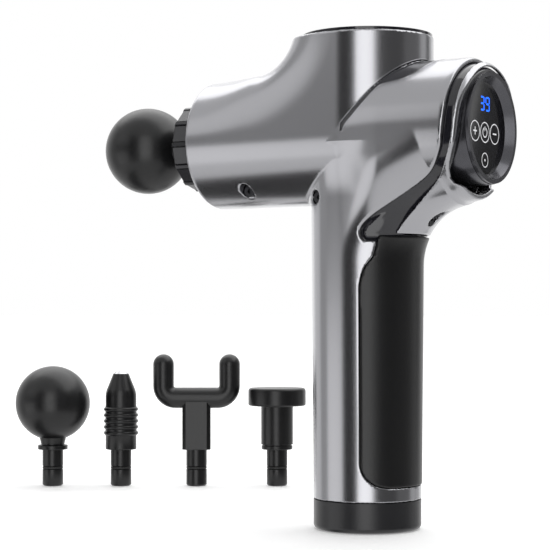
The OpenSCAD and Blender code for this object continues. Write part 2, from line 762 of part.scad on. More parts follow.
// Rocker, tilted to its off side at rest
module power_rocker() color("#b3222a") translate([rocker_x, 0, rocker_pivot_z]) rotate([0, rocker_tilt, 0]) {
  rotate([90, 0, 0]) linear_extrude(height = 6.6, center = true)
    polygon([[-5, -3.3], [0, -4], [5, -3.3], [4, 1.5], [-4, 1.5]]);
  along_y(-4.2, 4.2, 1);
}

module charge_jack() color("#151517") translate([jack_x, 0, 0]) difference() {
  union() {
    translate([0, 0, 0.5]) cylinder(r = 5.5, h = 13);
  }
  difference() {
    translate([0, 0, -1]) cylinder(r = jack_bore_r, h = 11);
    translate([0, 0, 1.5]) cylinder(r = jack_pin_r, h = 20);
  }
}

// Wires inside the housing: a round tube swept along hand-placed points
function unit(v) = v / norm(v);
function sweep_ring(p, t, r, n) =
  let (u = unit(cross(t, abs(t[1]) < 0.9 ? [0, 1, 0] : [1, 0, 0])), w = cross(t, u))
  [for (i = [0:n - 1]) p + r * (cos(360 * i / n) * u + sin(360 * i / n) * w)];

module wire(path, r) {
  n = 8;
  last = len(path) - 1;
  tangent = [for (i = [0:last]) unit(path[min(i + 1, last)] - path[max(i - 1, 0)])];
  points = [for (i = [0:last]) each sweep_ring(path[i], tangent[i], r, n)];
  sides = [for (i = [0:last - 1], j = [0:n - 1])
    [i * n + j, i * n + (j + 1) % n, (i + 1) * n + (j + 1) % n, (i + 1) * n + j]];
  polyhedron(points, concat([[for (j = [n - 1:-1:0]) j]], sides, [[for (j = [0:n - 1]) last * n + j]]));
}

lead_r = 1;
module battery_leads() color("#b3222a") for (y = [-6, -10])
  wire([[12, y, pack_top + 2.1], [12, y, pack_top + 4], [14, y, pack_top + 6.5], [19, y, pack_top + 9],
        [26, y, pack_top + 11], [32, y, pack_top + 13.5], [36, y, pack_top + 17], [case_r + 12.2, y, pack_top + 19]], lead_r);

lead_x = pillar_r + 4.5;
module motor_leads() color("#d9a520") for (y = [-2.3, 0, 2.3])
  wire([[lead_x, y, stator_low - 1.25], [lead_x, y, flange_low + 4.4], [lead_x + 0.8, y, flange_low + 3.4],
        [lead_x + 2, y, flange_low + 3], [case_r + 0.6, y, flange_low + 3], [case_r + 2, y, flange_low + 2.3],
        [case_r + 2.7, y, flange_low + 0.7], [case_r + 2.7, y, boss_z + 10], [case_r + 3.4, y, boss_z + 8.5],
        [case_r + 5, y, boss_z + 8], [case_r + 12.9, y, boss_z + 8]], lead_r * 0.7);

module display_cable() color("#dcdcd6")
  translate([case_r + 13 + board_t + 0.1, -5, boss_z - 12]) cube([lens_x - lens_t - 3 - seat_fit - board_t - case_r - 13 - board_t - 0.2, 10, 1]);

// Heads. Each is drawn with the shank's free end at z = 0 and the working end up.
ring_r = 1;
module shank() difference() {
  union() {
    cylinder(r1 = shank_r - 0.8, r2 = shank_r, h = 0.8);
    translate([0, 0, 0.8]) cylinder(r = shank_r, h = shank_len - 0.8);
  }
  translate([0, 0, shank_len / 2 - ring_r - 0.1]) difference() {
    cylinder(r = shank_r + 1, h = 2 * ring_r + 0.2);
    translate([0, 0, -1]) cylinder(r = shank_r - 2 * ring_r - 0.05, h = 10);
  }
}

module shank_ring() color("#0f0f10") translate([0, 0, shank_len / 2]) rotate_extrude() translate([shank_r - ring_r, 0]) circle(r = ring_r, $fn = 32);

module ball_shape() {
  shank();
  translate([0, 0, shank_len]) cylinder(r = 9, h = 2.5);
  translate([0, 0, shank_len + 2.5]) cylinder(r1 = 7, r2 = 8, h = 6);
  translate([0, 0, shank_len + 5.6 + ball_d / 2]) sphere(r = ball_d / 2);
}

// Turns a standing head to lie along the barrel axis, seated in the plunger
module fitted() translate([head_seat_x - seat_fit + shank_len, 0, axis_h]) rotate([0, -90, 0]) children();

module ball_head() color("#1d1d1f") fitted() ball_shape();
module ball_head_ring() fitted() shank_ring();

// Moves a standing head to its place in the row
module in_row(i) translate([-row_side * cos(row_angle) - row_back * sin(row_angle),
                            -row_side * sin(row_angle) + row_back * cos(row_angle), 0])
  rotate([0, 0, row_angle]) translate([row_at[i], 0, 0]) children();

module spare_ball() color("#1d1d1f") in_row(0) ball_shape();
module spare_ball_ring() in_row(0) shank_ring();

cone_h = 13;
bullet_h = 34.5;
rib_r = 1;
module spare_bullet() color("#1d1d1f") in_row(1) {
  shank();
  translate([0, 0, shank_len]) cylinder(r = bullet_d / 2, h = bullet_h);
  for (i = [0:4]) translate([0, 0, shank_len + 10 + i * 3.6]) rotate_extrude()
    translate([bullet_d / 2 + 0.1, 0]) circle(r = rib_r, $fn = 24);
  translate([0, 0, shank_len + bullet_h]) cylinder(r1 = bullet_d / 2, r2 = bullet_d / 4, h = cone_h - 1.5);
}
module spare_bullet_tip() color("#b9babd") in_row(1) translate([0, 0, shank_len + bullet_h + cone_h - 1.5])
  cylinder(r1 = bullet_d / 4, r2 = bullet_d / 4 - 1.6, h = 1.5);
module spare_bullet_ring() in_row(1) shank_ring();

stem_h = 25;
tine_h = 20.2;
module spare_fork() color("#1d1d1f") in_row(2) {
  bar_r = fork_bar_d / 2;
  bend = bar_r + 1;
  bar_z = shank_len + stem_h + bar_r;
  half = fork_span / 2;
  shank();
  difference() {
    translate([-8.5, -6, shank_len]) cube([17, 12, stem_h + 4]);
    // Arched notch and chamfered corners on both faces
    for (s = [-1, 1]) translate([0, s * 6, shank_len]) {
      along_y(-0.8, 0.8, 5.2);
      for (t = [-1, 1]) translate([t * 8.5, 0, 40]) rotate([0, 0, 45]) cube([3, 3, 90], center = true);
    }
  }
  translate([0, 0, bar_z]) along_x(-half + bend, half - bend, bar_r);
  for (s = [-1, 1]) {
    translate([s * (half - bend), 0, bar_z + bend]) rotate([90, 0, 0]) rotate([0, 0, s > 0 ? -90 : 180])
      rotate_extrude(angle = 90) translate([bend, 0]) circle(r = bar_r);
    translate([s * half, 0, bar_z + bend]) cylinder(r = bar_r, h = tine_h - bend);
    translate([s * half, 0, bar_z + tine_h]) sphere(r = bar_r);
  }
}
module spare_fork_ring() in_row(2) shank_ring();

module spare_flat() color("#1d1d1f") in_row(3) {
  shank();
  translate([0, 0, shank_len]) cylinder(r = 9.4, h = 2.2);
  translate([0, 0, shank_len + 2.2]) cylinder(r = 9, h = 1);
  translate([0, 0, shank_len + 3.2]) cylinder(r = 9.7, h = 23.2);
  translate([0, 0, shank_len + 26.4]) cylinder(r = disc_d / 2, h = 11);
}
module spare_flat_ring() in_row(3) shank_ring();

left_shell();
right_shell();
rear_cover();
groove_trim();
turret_cap();
nose_collar();
rubber_grip();
base_cap();
display_barrel();
display_bezel();
display_lens();
led_digits();
touch_icons();
led_module();
display_board();
driver_board();
stator_core();
stator_coils();
rotor_can();
rotor_magnets();
motor_shaft();
motor_mount();
motor_bearings();
crank_disc();
crank_pin();
crank_bearing();
connecting_rod();
wrist_pin();
plunger();
guide_sleeve();
dust_seal();
drive_housing();
damper_rings();
motor_screws();
shell_screws();
cover_screw();
battery_cells();
battery_holders();
nickel_strips();
charge_board();
power_rocker();
rocker_housing();
charge_jack();
battery_leads();
motor_leads();
display_cable();
ball_head();
ball_head_ring();
spare_ball();
spare_ball_ring();
spare_bullet();
spare_bullet_tip();
spare_bullet_ring();
spare_fork();
spare_fork_ring();
spare_flat();
spare_flat_ring();
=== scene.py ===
import json
import math
import bpy
import bmesh
import numpy as np
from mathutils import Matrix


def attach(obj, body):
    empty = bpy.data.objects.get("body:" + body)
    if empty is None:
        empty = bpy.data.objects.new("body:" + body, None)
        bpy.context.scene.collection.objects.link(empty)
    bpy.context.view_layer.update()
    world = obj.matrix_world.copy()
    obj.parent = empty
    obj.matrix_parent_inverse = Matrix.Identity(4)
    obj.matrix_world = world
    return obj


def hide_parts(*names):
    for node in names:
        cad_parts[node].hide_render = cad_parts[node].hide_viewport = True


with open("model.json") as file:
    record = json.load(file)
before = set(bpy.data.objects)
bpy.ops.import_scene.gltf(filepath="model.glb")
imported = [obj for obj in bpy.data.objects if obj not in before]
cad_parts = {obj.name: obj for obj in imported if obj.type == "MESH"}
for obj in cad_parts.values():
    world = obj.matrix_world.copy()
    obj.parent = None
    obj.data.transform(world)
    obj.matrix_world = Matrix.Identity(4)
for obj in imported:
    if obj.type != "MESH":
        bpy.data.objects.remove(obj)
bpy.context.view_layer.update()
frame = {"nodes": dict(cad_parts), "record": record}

nodes = frame["nodes"]
slot_of = {s["node"]: s["material_slot"] for s in frame["record"]["subparts"]}

# ---------------------------------------------------------------- materials


def material(name, color, metallic=0.0, rough=0.4, vary=0.04, scale=300.0, bump=0.02,
             coat=0.0, emit=0.0, specular=0.5, tint=0.08):
    """Principled surface whose colour, roughness and fine relief vary with 3-D noise."""
    m = bpy.data.materials.new(name)
    m.use_nodes = True
    nt = m.node_tree
    b = nt.nodes["Principled BSDF"]
    b.inputs["Metallic"].default_value = metallic
    b.inputs["Coat Weight"].default_value = coat
    b.inputs["Coat Roughness"].default_value = 0.04
    b.inputs["Specular IOR Level"].default_value = specular
    coord = nt.nodes.new("ShaderNodeTexCoord")
    fine = nt.nodes.new("ShaderNodeTexNoise")
    fine.inputs["Scale"].default_value = scale
    fine.inputs["Detail"].default_value = 3.0
    broad = nt.nodes.new("ShaderNodeTexNoise")
    broad.inputs["Scale"].default_value = 22.0
    nt.links.new(coord.outputs["Object"], fine.inputs["Vector"])
    nt.links.new(coord.outputs["Object"], broad.inputs["Vector"])
    ramp = nt.nodes.new("ShaderNodeMapRange")
    ramp.inputs["To Min"].default_value = max(rough - vary, 0.02)
    ramp.inputs["To Max"].default_value = rough + vary
    nt.links.new(fine.outputs["Fac"], ramp.inputs["Value"])
    nt.links.new(ramp.outputs["Result"], b.inputs["Roughness"])
    mix = nt.nodes.new("ShaderNodeMix")
    mix.data_type = "RGBA"
    mix.inputs["A"].default_value = (*[c * (1 - tint) for c in color], 1)
    mix.inputs["B"].default_value = (*[min(c * (1 + tint), 1) for c in color], 1)
    nt.links.new(broad.outputs["Fac"], mix.inputs["Factor"])
    nt.links.new(mix.outputs["Result"], b.inputs["Base Color"])
    if bump:
        bn = nt.nodes.new("ShaderNodeBump")
        bn.inputs["Strength"].default_value = bump
        bn.inputs["Distance"].default_value = 0.0002
        nt.links.new(fine.outputs["Fac"], bn.inputs["Height"])
        nt.links.new(bn.outputs["Normal"], b.inputs["Normal"])
    if emit:
        b.inputs["Emission Color"].default_value = (*color, 1)
        b.inputs["Emission Strength"].default_value = emit
    return m


looks = {
    "shell_paint": dict(color=(0.42, 0.42, 0.44), metallic=1.0, rough=0.23, vary=0.015, scale=900, bump=0.0,
                        coat=0.15, tint=0.02),
    # Near black: painted shade and dark reflection, on the groove trim and the sheet in the crease behind the
    # motor housing
    "groove_black": dict(color=(0.012, 0.012, 0.016), rough=0.12, vary=0.02, bump=0.0, coat=0.4),
    "head_black": dict(color=(0.006, 0.006, 0.0065), rough=0.33, vary=0.05, scale=700, bump=0.12, tint=0.15),
    "grip_rubber": dict(color=(0.006, 0.006, 0.0065), rough=0.36, vary=0.05, scale=1400, bump=0.2,
                        specular=0.5, tint=0.15),
    "base_grey": dict(color=(0.016, 0.016, 0.018), rough=0.34, vary=0.05, scale=1100, bump=0.15, tint=0.1),
    "collar_black": dict(color=(0.03, 0.03, 0.033), metallic=0.3, rough=0.22, vary=0.03, bump=0.05, scale=900,
                         coat=0.2),
    "rim_dark": dict(color=(0.09, 0.09, 0.10), metallic=0.9, rough=0.24, vary=0.03, bump=0.0, coat=0.2,
                     tint=0.05),
    "screen": dict(color=(0.006, 0.006, 0.008), rough=0.06, vary=0.01, bump=0.0, coat=0.6),
    "led_blue": dict(color=(0.0, 0.12, 1.0), rough=0.3, emit=1.6, bump=0.0),
    "icon_white": dict(color=(0.7, 0.7, 0.72), rough=0.4, emit=0.25, bump=0.0),
    "led_white": dict(color=(0.8, 0.8, 0.8), rough=0.5),
    "board": dict(color=(0.03, 0.16, 0.07), rough=0.35, scale=120),
    "steel": dict(color=(0.62, 0.62, 0.64), metallic=1.0, rough=0.25, vary=0.08, scale=500),
    "screw_steel": dict(color=(0.06, 0.06, 0.065), metallic=0.9, rough=0.35, vary=0.06),
    "alloy": dict(color=(0.62, 0.62, 0.64), metallic=1.0, rough=0.38, vary=0.08, scale=500, bump=0.1),
    "can_steel": dict(color=(0.2, 0.2, 0.21), metallic=0.9, rough=0.3),
    "magnet": dict(color=(0.2, 0.2, 0.21), metallic=0.9, rough=0.4),
    "copper": dict(color=(0.55, 0.2, 0.07), metallic=0.9, rough=0.3, scale=900, bump=0.3),
    "brass": dict(color=(0.62, 0.46, 0.2), metallic=1.0, rough=0.3),
    "nickel": dict(color=(0.65, 0.65, 0.66), metallic=1.0, rough=0.2),
    "cell_wrap": dict(color=(0.06, 0.16, 0.45), rough=0.3),
    "holder": dict(color=(0.75, 0.75, 0.7), rough=0.5),
    "seal_rubber": dict(color=(0.012, 0.012, 0.012), rough=0.5, bump=0.1),
    "switch_red": dict(color=(0.45, 0.02, 0.02), rough=0.25, coat=0.3),
    "black_plastic": dict(color=(0.015, 0.015, 0.016), rough=0.4, bump=0.1, scale=900),
    "wire_red": dict(color=(0.45, 0.02, 0.02), rough=0.4),
    "wire_yellow": dict(color=(0.65, 0.4, 0.03), rough=0.4),
    "cable_white": dict(color=(0.75, 0.75, 0.72), rough=0.5),
}
mats = {k: material(k, **v) for k, v in looks.items()}
for name, obj in nodes.items():
    obj.data.materials.clear()
    obj.data.materials.append(mats[slot_of[name]])

# ---------------------------------------------------------------- sizes, in millimetres

AXIS_Z = 190.5
BOSS_Z = 191.6
BARREL_R = 32.25
TURRET_R = 32.25
BARREL_FRONT = -87.0
SHELL_TOP = 238.8
BASE_H = 14.5
WALL = 2.2

# Side outlines (x, z): lips in front of and behind the dark groove, display window, grip
FRONT_LIP = [(60.0, 262), (60.0, 232), (59.6, 222), (59.2, 214), (58.8, 206), (58.6, 198.3), (57.7, 190.6),
             (56.6, 183.2), (54.6, 178.6), (51.3, 173.6), (47.4, 169.8), (42.6, 166.3), (34.3, 161.6),
             (24.6, 155.9), (15.7, 150.2), (10.6, 145.6), (10.2, 141.5), (12.0, 139.0)]
REAR_LIP = [(64.6, 262), (64.6, 232), (64.4, 222), (64.0, 215.4), (63.3, 207), (62.9, 200.0), (62.0, 191.3),
            (61.2, 185.4), (58.4, 177.7), (54.4, 171.6), (49.5, 166.0), (40.7, 159.2), (35.3, 154.8),
            (31.1, 151.0), (26.8, 146.0), (24.4, 142.3)]
# Curved edge beside the display, and the points that close the outline behind it
WINDOW_EDGE = [(56.2, 167.5), (57.8, 173), (60.4, 178), (63.0, 184), (64.0, 191), (64.8, 200),
               (65.8, 208), (69.5, 228)]
WINDOW_BACK = [(95, 228), (95, 163.0), (62, 163.0), (57.2, 165)]


def arc(cx, cz, r, a0, a1, n):
    return [(cx + r * math.cos(math.radians(a0 + (a1 - a0) * i / n)),
             cz + r * math.sin(math.radians(a0 + (a1 - a0) * i / n))) for i in range(n + 1)]


GRIP = ([(60, 21.6)] + arc(21.8, 33.6, 12, 270, 180, 10)
        + [(9.8, 118), (10.9, 123.5), (12.6, 127.5), (15.6, 131.6), (17.2, 137), (18.2, 141.5), (60, 141.5)])

# ---------------------------------------------------------------- distance fields


def smin(a, b, k):
    """Smooth minimum over a width of k."""
    h = np.maximum(k - np.abs(a - b), 0.0) / k
    return np.minimum(a, b) - h * h * k * 0.25


def smax(a, b, k):
    return -smin(-a, -b, k)


def rise(v, lo, hi):
    """Smooth step from 0 at lo to 1 at hi."""
    t = np.clip((v - lo) / (hi - lo), 0, 1)
    return t * t * (3 - 2 * t)


def smooth_line(points, rounds=2):
    """Corner cutting, ends kept."""
    p = np.array(points, float)
    for _ in range(rounds):
        q = 0.75 * p[:-1] + 0.25 * p[1:]
        r = 0.25 * p[:-1] + 0.75 * p[1:]
        mid = np.empty((2 * len(q), 2))
        mid[0::2] = q
        mid[1::2] = r
        p = np.vstack([p[:1], mid, p[-1:]])
    return p


def polygon(points):
    """Signed distance to a closed outline in the side view, as a function of x and z."""
    p = np.array(points, float)
    q = np.roll(p, 1, axis=0)

    def d(x, z):
        best = np.full(x.shape, 1e9)
        inside = np.zeros(x.shape, bool)
        for (ax, az), (bx, bz) in zip(p, q):
            ex, ez = bx - ax, bz - az
            L = ex * ex + ez * ez
            if L < 1e-12:
                continue
            t = np.clip(((x - ax) * ex + (z - az) * ez) / L, 0, 1)
            best = np.minimum(best, (x - ax - t * ex) ** 2 + (z - az - t * ez) ** 2)
            cross = ((az > z) != (bz > z)) & (x < (bx - ax) * (z - az) / (bz - az + 1e-30) + ax)
            inside ^= cross
        best = np.sqrt(best)
        return np.where(inside, -best, best)
    return d


behind_front = polygon([*smooth_line(FRONT_LIP), (30, 139.0), (120, 139), (120, 262)])
behind_rear = polygon([*smooth_line(REAR_LIP), (120, 142.3), (120, 262)])
window = polygon([*smooth_line(WINDOW_EDGE, 1), *WINDOW_BACK])
grip_side = polygon(GRIP)
# Side outline of the barrel top and the turret front, with the concave blend between them
FILLET_R = 18.5
BARREL_TOP = AXIS_Z + BARREL_R
FAR = 300
top_side = polygon([(-FAR, BARREL_TOP)]
                   + arc(-TURRET_R - FILLET_R, BARREL_TOP + FILLET_R, FILLET_R, -90, 0, 40)
                   + [(-TURRET_R, 500), (FAR, 500), (FAR, -200), (-FAR, -200)])
# The handle's back bends into the underside of the display boss, which slopes at NECK_SLOPE degrees
NECK_X, NECK_Z, NECK_R, NECK_SLOPE = 27.118, 127.7, 28, 31
bend = arc(NECK_X + NECK_R, NECK_Z, NECK_R, 180, 90 + NECK_SLOPE, 40)
slope = math.radians(NECK_SLOPE)
slope_end = (bend[-1][0] + FAR * math.cos(slope), bend[-1][1] + FAR * math.sin(slope))
rear_side = polygon([(NECK_X, -FAR)] + bend + [slope_end, (-FAR, 500), (-FAR, -FAR)])


def handle_radius(z):
    """Radius of the handle, which flares towards the motor housing."""
    straight = 26.25 + (z - BASE_H) * 1.35 / 176.0
    flare = 4.68 * np.clip((z - 160) / 26, 0, 1) ** 2
    return np.minimum(straight + flare, TURRET_R)


def sweep(side, y, half, edge):
    """Distance to a side outline given a width of 2 * half, its edges rounded by edge."""
    return np.hypot(np.maximum(side + edge, 0), np.maximum(np.abs(y) - (half - edge), 0)) - edge


def body(x, y, z):
    """Outer form of the housing."""
    # Blends end where the side walls run into each other, so that they add nothing there
    inner = 1 - rise(np.abs(y), 16, 29)
    barrel = np.hypot(y, z - AXIS_Z) - BARREL_R
    turret = np.maximum(np.hypot(x, y) - TURRET_R, 188 - z)
    # Barrel top, concave blend and turret front are one swept face, fuller round the blend
    near = np.exp(-((x + 44) ** 2 + (z - 229) ** 2) / 26.0 ** 2)
    loft = sweep(top_side(x, z), y, BARREL_R, BARREL_R * (1 - 0.5 * near))
    loft = np.maximum(loft, np.maximum(x, AXIS_Z - z))
    front = np.minimum(np.minimum(np.maximum(barrel, x - 50), turret), loft)
    front = smax(front, BARREL_FRONT - x, 2.2)
    handle = np.maximum(np.hypot(x, y) - handle_radius(z), z - 196)
    main = smin(front, handle, 0.05 + 3.0 * inner)
    # Display boss and the neck below it
    lift = rise(x, 0, 24)
    narrow = 1.0 * rise(x, 56, 64) + 5.0 * np.clip((x - 60.5) / 7.5, 0, 1) ** 2
    rb = BARREL_R + 1.15 * lift - narrow
    boss = np.maximum((np.hypot(y, z - AXIS_Z - 1.1 * lift) - rb) * 0.93, 0.5 - x)
    slim = handle_radius(z)
    rho = slim + (27.15 + 6.25 * rise(z, 132, 180) - slim) * lift * rise(z, 128, 140) - narrow
    neck = sweep(rear_side(x, z), y, rho, rho)
    neck = np.maximum(neck, np.maximum(np.maximum(-x, z - BOSS_Z), np.maximum(x - 63, 128 - z)))
    back = smin(boss, neck, 0.05 + 7.0 * inner)
    low = smin(main, back, 0.05 + 5.0 * inner * rise(z, 130, 150))
    high = np.minimum(main, back)
    w = rise(z, 186, 198)
    return low * (1 - w) + high * w


# Recessed housing screws: x, z, and y of the recess's floor
SCREWS = ((-57.6, 165.5, -15.0), (-16.6, 161.0, -16.0))
POST_R, RECESS_R = 5.2, 3.4
BARREL_BORE, DISPLAY_BORE = 15.4, 28.6


def half_shell(x, y, z, recesses):
    """Moulded half shell before it is cut at y = 0, with the screw recesses if wanted."""
    b = body(x, y, z)
    d = smax(b, -(b + WALL), 0.8)
    d = smax(d, z - SHELL_TOP, 1.0)
    d = smax(d, BASE_H + 0.15 - z, 0.8)
    d = smax(d, -behind_front(x, z), 1.1)
    d = smax(d, -grip_side(x, z) + 0.1, 0.7)
    d = np.maximum(d, -(np.maximum(np.hypot(y, z - AXIS_Z) - BARREL_BORE, x + 80)))
    if recesses:
        for sx, sz, sy in SCREWS:
            r = np.hypot(x - sx, z - sz)
            post = np.maximum(r - POST_R, np.maximum(y - sy - 1.6, b + 0.5))
            d = np.minimum(d, post)
            d = smax(d, -np.maximum(r - RECESS_R, y - sy), 0.8)
    return d


def cover(x, y, z):
    """Rear cover round the display, with its screw post."""
    b = body(x, y, z)
    d = smax(b, -(b + WALL), 0.8)
    d = smax(d, behind_rear(x, z), 1.0)
    d = smax(d, -window(x, z), 0.9)
    d = smax(d, -(np.maximum(np.hypot(y, z - BOSS_Z) - DISPLAY_BORE, 50 - x)), 0.8)
    # The lip below the display ends before its wall runs out
    d = smax(d, -np.maximum(60.2 - x, z - 174), 0.9)
    r = np.hypot(y, z - 150.0)
    post = np.maximum(r - POST_R, np.maximum(32.0 - x, b + 0.5))
    d = np.minimum(d, post)
    return smax(d, -np.maximum(r - RECESS_R, 33.2 - x), 0.8)


def trim(x, y, z):
    """Trim at the bottom of the groove between shell and cover; the groove is real, its near-black colour is
    painted shade and dark reflection.
    """
    b = body(x, y, z)
    # Deep under the shell and the cover, nearly flush where it meets the grip
    sink = 2.35 - 1.2 * rise(-z, -156, -143) * rise(-behind_front(x, z), 0.3, 2.3)
    d = smax(b + sink, -(b + sink + 1.6), 0.6)
    side = np.minimum(behind_front(x + 2.2, z), np.maximum(8 - x, z - 142))
    d = smax(d, side, 0.6)
    d = smax(d, -behind_rear(x - 2.2, z), 0.6)
    return smax(d, 128 - z, 0.6)


def grip(x, y, z):
    """Soft grip, slightly proud of the shell."""
    b = body(x, y, z)
    d = smax(b - 0.35, -(b + 1.9), 1.0)
    return smax(d, grip_side(x, z) + 0.12, 0.9)


# ---------------------------------------------------------------- surface from a distance field


def surface(field, lo, hi, h):
    """Naive surface nets, then each vertex is moved onto the field's zero by its gradient."""
    ax = [np.arange(lo[i], hi[i] + h, h) for i in range(3)]
    X, Y, Z = np.meshgrid(*ax, indexing="ij")
    F = field(X, Y, Z)
    neg = F < 0
    n = F.shape
    count = np.zeros((n[0] - 1, n[1] - 1, n[2] - 1))
    acc = np.zeros(count.shape + (3,))
    steps = [(i, j, k) for i in (0, 1) for j in (0, 1) for k in (0, 1)]
    for a in steps:
        for axis in range(3):
            if a[axis]:
                continue
            b = list(a)
            b[axis] = 1
            sa = tuple(slice(a[i], a[i] + n[i] - 1) for i in range(3))
            sb = tuple(slice(b[i], b[i] + n[i] - 1) for i in range(3))
            fa, fb = F[sa], F[sb]
            m = (fa < 0) != (fb < 0)
            t = np.where(m, fa / np.where(m, fa - fb, 1), 0)
            for i in range(3):
                acc[..., i] += m * (a[i] + (t if i == axis else 0))
            count += m
    has = count > 0
    ids = np.full(count.shape, -1, int)
    ids[has] = np.arange(has.sum())
    idx = np.argwhere(has)
    V = (idx + acc[has] / count[has][:, None]) * h + np.array([a[0] for a in ax])
    quads = []
    for axis in range(3):
        u, v = (axis + 1) % 3, (axis + 2) % 3
        sl0 = [slice(1, k - 1) for k in n]
        sl1 = [slice(1, k - 1) for k in n]
        sl0[axis] = slice(0, n[axis] - 1)
        sl1[axis] = slice(1, n[axis])
        a, b = neg[tuple(sl0)], neg[tuple(sl1)]
        for flip, m in ((False, a & ~b), (True, ~a & b)):
            p = np.argwhere(m)
            off = np.ones(3, int)
            off[axis] = 0
            p = p + off
            ring = []
            for du, dv in ((0, 0), (-1, 0), (-1, -1), (0, -1)):
                q = p.copy()
                q[:, u] += du
                q[:, v] += dv
                ring.append(ids[q[:, 0], q[:, 1], q[:, 2]])
            q = np.stack(ring, 1)
            quads.append(q[:, ::-1] if flip else q)
    Q = np.concatenate(quads)
    eps = 0.05

    def grad(P):
        """Numeric gradient of the field."""
        g = np.empty_like(P)
        for i in range(3):
            d = np.zeros(3)
            d[i] = eps
            g[:, i] = (field(*(P + d).T) - field(*(P - d).T)) / (2 * eps)
        return g
    for _ in range(4):
        g = grad(V)
        f = field(*V.T)
        step = g * (f / np.maximum((g * g).sum(1), 0.2))[:, None]
        L = np.linalg.norm(step, axis=1)
        V = V - step * np.minimum(1, 0.4 * h / np.maximum(L, 1e-9))[:, None]
    g = grad(V)
    N = g / np.maximum(np.linalg.norm(g, axis=1), 1e-9)[:, None]
    return V, Q, N


def piece(name, V, Q, N, mat, body_name, replaces=()):
    """Mesh in millimetres as a visible piece; without normals N its faces are turned outwards."""
    me = bpy.data.meshes.new(name)
    me.from_pydata((np.asarray(V) / 1000).tolist(), [], [list(map(int, q)) for q in Q])
    me.validate()
    if N is None:
        bm = bmesh.new()
        bm.from_mesh(me)
        bmesh.ops.recalc_face_normals(bm, faces=bm.faces)
        bm.to_mesh(me)
        bm.free()
    me.polygons.foreach_set("use_smooth", [True] * len(me.polygons))
    me.update()
    if N is not None and len(N) == len(me.vertices):
        me.normals_split_custom_set_from_vertices(N.tolist())
    o = bpy.data.objects.new(name, me)
    bpy.context.collection.objects.link(o)
    me.materials.append(mats[mat])
    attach(o, body_name)
    if replaces:
        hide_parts(*replaces)
    return o


SEAM = 0.04


def clip_half(V, Q, N, side):
    """Keeps the half at y < -SEAM of a closed mesh, closes the cut, and mirrors it if side is positive."""
    bm = bmesh.new()
    lay = [bm.verts.layers.float.new(k) for k in ("nx", "ny", "nz")]
    vs = []
    for p, nn in zip(V, N):
        v = bm.verts.new(p)
        for l, c in zip(lay, nn):
            v[l] = c
        vs.append(v)
    for q in Q:
        try:
            bm.faces.new([vs[i] for i in q])
        except ValueError:
            pass
    geom = bm.verts[:] + bm.edges[:] + bm.faces[:]
    cut = bmesh.ops.bisect_plane(bm, geom=geom, plane_co=(0, -SEAM, 0), plane_no=(0, 1, 0),
                                 clear_outer=True)
    rim = [e for e in cut["geom_cut"] if isinstance(e, bmesh.types.BMEdge) and e.is_valid]
    fill = bmesh.ops.triangle_fill(bm, edges=rim, use_beauty=True, normal=(0, 1, 0))
    caps = {f for f in fill["geom"] if isinstance(f, bmesh.types.BMFace)}
    bm.verts.index_update()
    P = np.array([v.co[:] for v in bm.verts])
    NN = np.array([[v[l] for l in lay] for v in bm.verts])
    faces, is_cap = [], []
    for f in bm.faces:
        faces.append([v.index for v in f.verts])
        is_cap.append(f in caps)
    bm.free()
    if side > 0:
        P = P * np.array([1, -1, 1])
        NN = NN * np.array([1, -1, 1])
        faces = [f[::-1] for f in faces]
    return P, faces, NN, is_cap


def shell(name, side, recesses, h):
    """One half shell as a piece that replaces its CAD node."""
    V, Q, N = surface(lambda x, y, z: half_shell(x, y, z, recesses), (-90, -36, 12), (66, 1.5, 242), h)
    P, faces, NN, is_cap = clip_half(V, Q, N, side)
    me = bpy.data.meshes.new(name)
    me.from_pydata((P / 1000).tolist(), [], faces)
    me.polygons.foreach_set("use_smooth", [True] * len(me.polygons))
    me.update()
    corner = np.empty((len(me.loops), 3))
    vi = np.empty(len(me.loops), int)
    me.loops.foreach_get("vertex_index", vi)
    corner[:] = NN[vi]
    for p, c in zip(me.polygons, is_cap):
        if c:
            corner[p.loop_start:p.loop_start + p.loop_total] = (0, 1 if side < 0 else -1, 0)
    me.normals_split_custom_set(corner.tolist())
    o = bpy.data.objects.new(name, me)
    bpy.context.collection.objects.link(o)
    me.materials.append(mats["shell_paint"])
    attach(o, "housing")
    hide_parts(name[:-5])
    return o


# Grid steps, in millimetres
H, FINE = 1.0, 0.7
shell("left_shell_skin", -1, True, H)
shell("right_shell_skin", 1, False, H)
V, Q, N = surface(cover, (22, -36, 140), (68, 36, 228), FINE)
piece("rear_cover_skin", V, Q, N, "shell_paint", "housing", ["rear_cover"])
# Groove trim in near black: painted shade and dark reflection of the groove
V, Q, N = surface(trim, (4, -36, 125), (68, 36, 228), FINE)
piece("groove_painted_shade_skin", V, Q, N, "groove_black", "housing", ["groove_trim"])
V, Q, N = surface(grip, (6, -32, 18), (40, 32, 144), H)
piece("rubber_grip_skin", V, Q, N, "grip_rubber", "housing", ["rubber_grip"])

# ---------------------------------------------------------------- painted shade behind the motor housing


def on_boss(a, r):
    """Point on top of the display boss, at direction a and distance r from the handle's axis; its normal."""
    x, y = r * math.cos(a), r * math.sin(a)
    lift = float(rise(x, 0, 24))
    radius = BARREL_R + 1.15 * lift
    low = AXIS_Z + 1.1 * lift
    z = low + math.sqrt(max(radius ** 2 - y ** 2, 0.0))
    return np.array([x, y, z]), np.array([0, y, z - low]) / radius


def leaf_edge(a):
    """Distance from the handle's axis to the rear edge of the painted shade strip behind the motor housing.
    """
    deg = abs(math.degrees(a))
    return TURRET_R + 0.4 + 1.3 * (1 - float(rise(deg, 60, 84))) + 10.0 * (1 - float(rise(deg, 27, 53)))


def crease_lift(z):
    """How far the painted shade strip's front edge runs up the motor housing, more towards the top."""
    return 0.9 * float(rise(z, 200, 222))


STRIP_STEPS, STRIP_HALF = 120, 84
angles = [math.radians(-STRIP_HALF + 2 * STRIP_HALF * i / STRIP_STEPS) for i in range(STRIP_STEPS + 1)]


